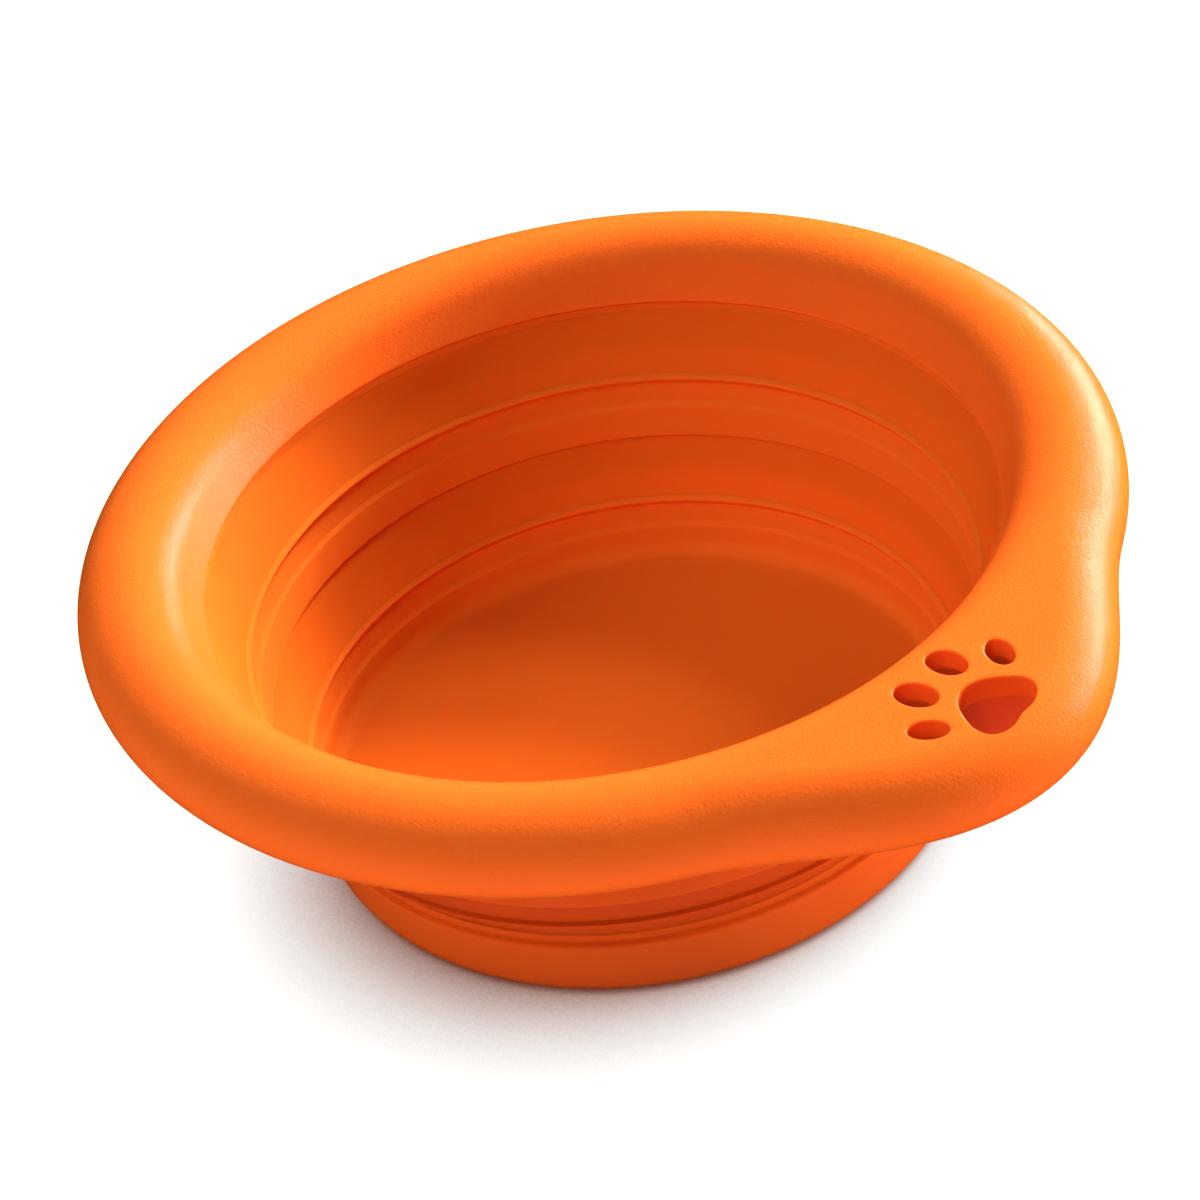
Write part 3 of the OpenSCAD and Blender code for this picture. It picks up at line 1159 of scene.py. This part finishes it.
@dataclass
class Lamp:
    """A soft studio lamp that points at the bowl, placed by its bearing from the bowl's axis."""

    name: str
    bearing: float
    height: float
    size: float
    power: float
    distance: float = 1.5
    sheen: bool = False
    shape: LampShape = LampShape.DISK
    strip_h: float = 0.1

    def build(self, aim: Vector) -> None:
        """Builds the lamp.

        Args:
            aim: Where it points, in metres.
        """
        lamp = bpy.data.lights.new(self.name, "AREA")
        lamp.shape = self.shape.value
        lamp.size = self.size
        if self.shape is LampShape.STRIP:
            lamp.size_y = self.strip_h
        lamp.energy = self.power
        obj = add_object(self.name, lamp)
        obj.visible_glossy = self.sheen
        a, e = math.radians(self.bearing), math.radians(self.height)
        away = Vector((math.cos(a) * math.cos(e), math.sin(a) * math.cos(e), math.sin(e)))
        obj.location = aim + away * self.distance
        obj.rotation_euler = away.to_track_quat("Z", "Y").to_euler()


@dataclass
class Studio:
    """White tabletop, soft lamps and the camera at the photograph's place."""

    camera_bearing: float = -34.6
    camera_reach: float = 423.4
    camera_z: float = 369.0
    camera_yaw: float = -0.29
    camera_pitch: float = 37.93
    camera_roll: float = -11.51
    lens: float = 90.0
    sensor: float = 36.0
    clip: Point = (0.01, 20.0)
    floor_size: float = 6.0
    floor_cells: int = 8
    world_strength: float = 1.0
    aim_z: float = 40.0
    lamps: tuple[Lamp, ...] = (
        Lamp("side_lamp", bearing=90.0, height=10.5, size=1.5, power=19.5, sheen=True, shape=LampShape.STRIP),
        Lamp("window_lamp", bearing=102.0, height=32.0, size=0.35, power=42.0),
        Lamp("broad_lamp", bearing=90.0, height=30.0, size=0.5, power=19.5),
        Lamp("key_lamp", bearing=91.0, height=44.0, size=0.3, power=11.0),
        Lamp("right_lamp", bearing=55.0, height=5.0, size=0.4, power=30.0),
        Lamp("front_lamp", bearing=-60.0, height=42.0, size=0.7, power=10.6),
        Lamp("left_lamp", bearing=-120.0, height=42.0, size=0.6, power=7.0),
        Lamp("low_lamp", bearing=-150.0, height=20.0, size=0.6, power=1.0),
    )

    def _camera(self) -> None:
        """Places the camera by its bearing, reach, height, heading, tilt and roll."""
        bearing = math.radians(self.camera_bearing)
        toward = Vector((-math.cos(bearing), -math.sin(bearing), 0))
        place = (Vector((0, 0, self.camera_z)) - toward * self.camera_reach) * MM
        aside = toward.cross(Vector((0, 0, 1)))
        yaw, pitch, roll = (math.radians(v) for v in (self.camera_yaw, self.camera_pitch, self.camera_roll))
        level = toward * math.cos(yaw) + aside * math.sin(yaw)
        ahead = level * math.cos(pitch) - Vector((0, 0, math.sin(pitch)))
        right = ahead.cross(Vector((0, 0, 1))).normalized()
        up = right.cross(ahead)
        x, y = right * math.cos(roll) + up * math.sin(roll), up * math.cos(roll) - right * math.sin(roll)
        camera = add_object("product_camera", bpy.data.cameras.new("product_camera"))
        camera.data.sensor_width, camera.data.lens = self.sensor, self.lens
        camera.data.sensor_fit = "HORIZONTAL"
        camera.data.clip_start, camera.data.clip_end = self.clip
        camera.matrix_world = Matrix((x, y, -ahead)).transposed().to_4x4()
        camera.matrix_world.translation = place
        bpy.context.scene.camera = camera

    def _floor(self, finish: OpalTabletop) -> None:
        """Lays the tabletop at the height of the foot, left out of the sheen on the bowl."""
        work = bmesh.new()
        bmesh.ops.create_grid(
            work, x_segments=self.floor_cells, y_segments=self.floor_cells, size=self.floor_size / 2
        )
        mesh = bpy.data.meshes.new("tabletop")
        work.to_mesh(mesh)
        work.free()
        mesh.materials.append(finish.material())
        floor = add_object("tabletop", mesh)
        floor.visible_glossy = False

    def _backdrop(self) -> None:
        """Hangs white air round the table, which is seen beyond its edge and lights nothing."""
        world = bpy.data.worlds.new("studio_air")
        bpy.context.scene.world = world
        world.use_nodes = True
        tree = world.node_tree
        tree.nodes.clear()
        sky = add_node(tree, "Background", {"Color": linear("#ffffff"), "Strength": self.world_strength})
        tree.links.new(sky.outputs[0], add_node(tree, "OutputWorld").inputs["Surface"])
        seen = world.cycles_visibility
        seen.diffuse = seen.glossy = seen.transmission = seen.scatter = False

    def build(self, tabletop: OpalTabletop) -> None:
        """Builds the floor, the light and the camera.

        Args:
            tabletop: The floor's finish.
        """
        view = bpy.context.scene.view_settings
        view.view_transform, view.look = "Standard", "None"
        self._backdrop()
        self._floor(tabletop)
        for lamp in self.lamps:
            lamp.build(Vector((0, 0, self.aim_z * MM)))
        self._camera()


def main() -> None:
    """Builds the studio and the bowl, in order."""
    logging.basicConfig(level=logging.INFO, format="%(name)s: %(message)s")
    Studio().build(OpalTabletop())
    # the cut-outs' walls take a deeper, redder copy of the rubber: painted shade for the inside of the holes
    shaded_cut_rubber = GrainedRubber(
        name="moulded_tpe_cut_walls_painted_shade", colour="#d9561a", deep="#d55218", specular=0.05, glow=0.6,
        relief_mm=0.02,
    )
    RimCover().dress(GrainedRubber(), shaded_cut_rubber)
    RimFrame().dress(MouldedPolypropylene())
    # the webs take a darker copy of the silicone: painted shade for the webs under the lip and the band,
    # deeper still on their outer skin
    shaded_web_silicone = SmoothSilicone(
        name="moulded_silicone_thin_painted_shade", colour="#c95c17", deep="#c65a15", outer="#b43e0e", glow_mm=1.2
    )
    SiliconeBowl().dress(SmoothSilicone(), shaded_web_silicone)


if __name__ == "__main__":
    main()
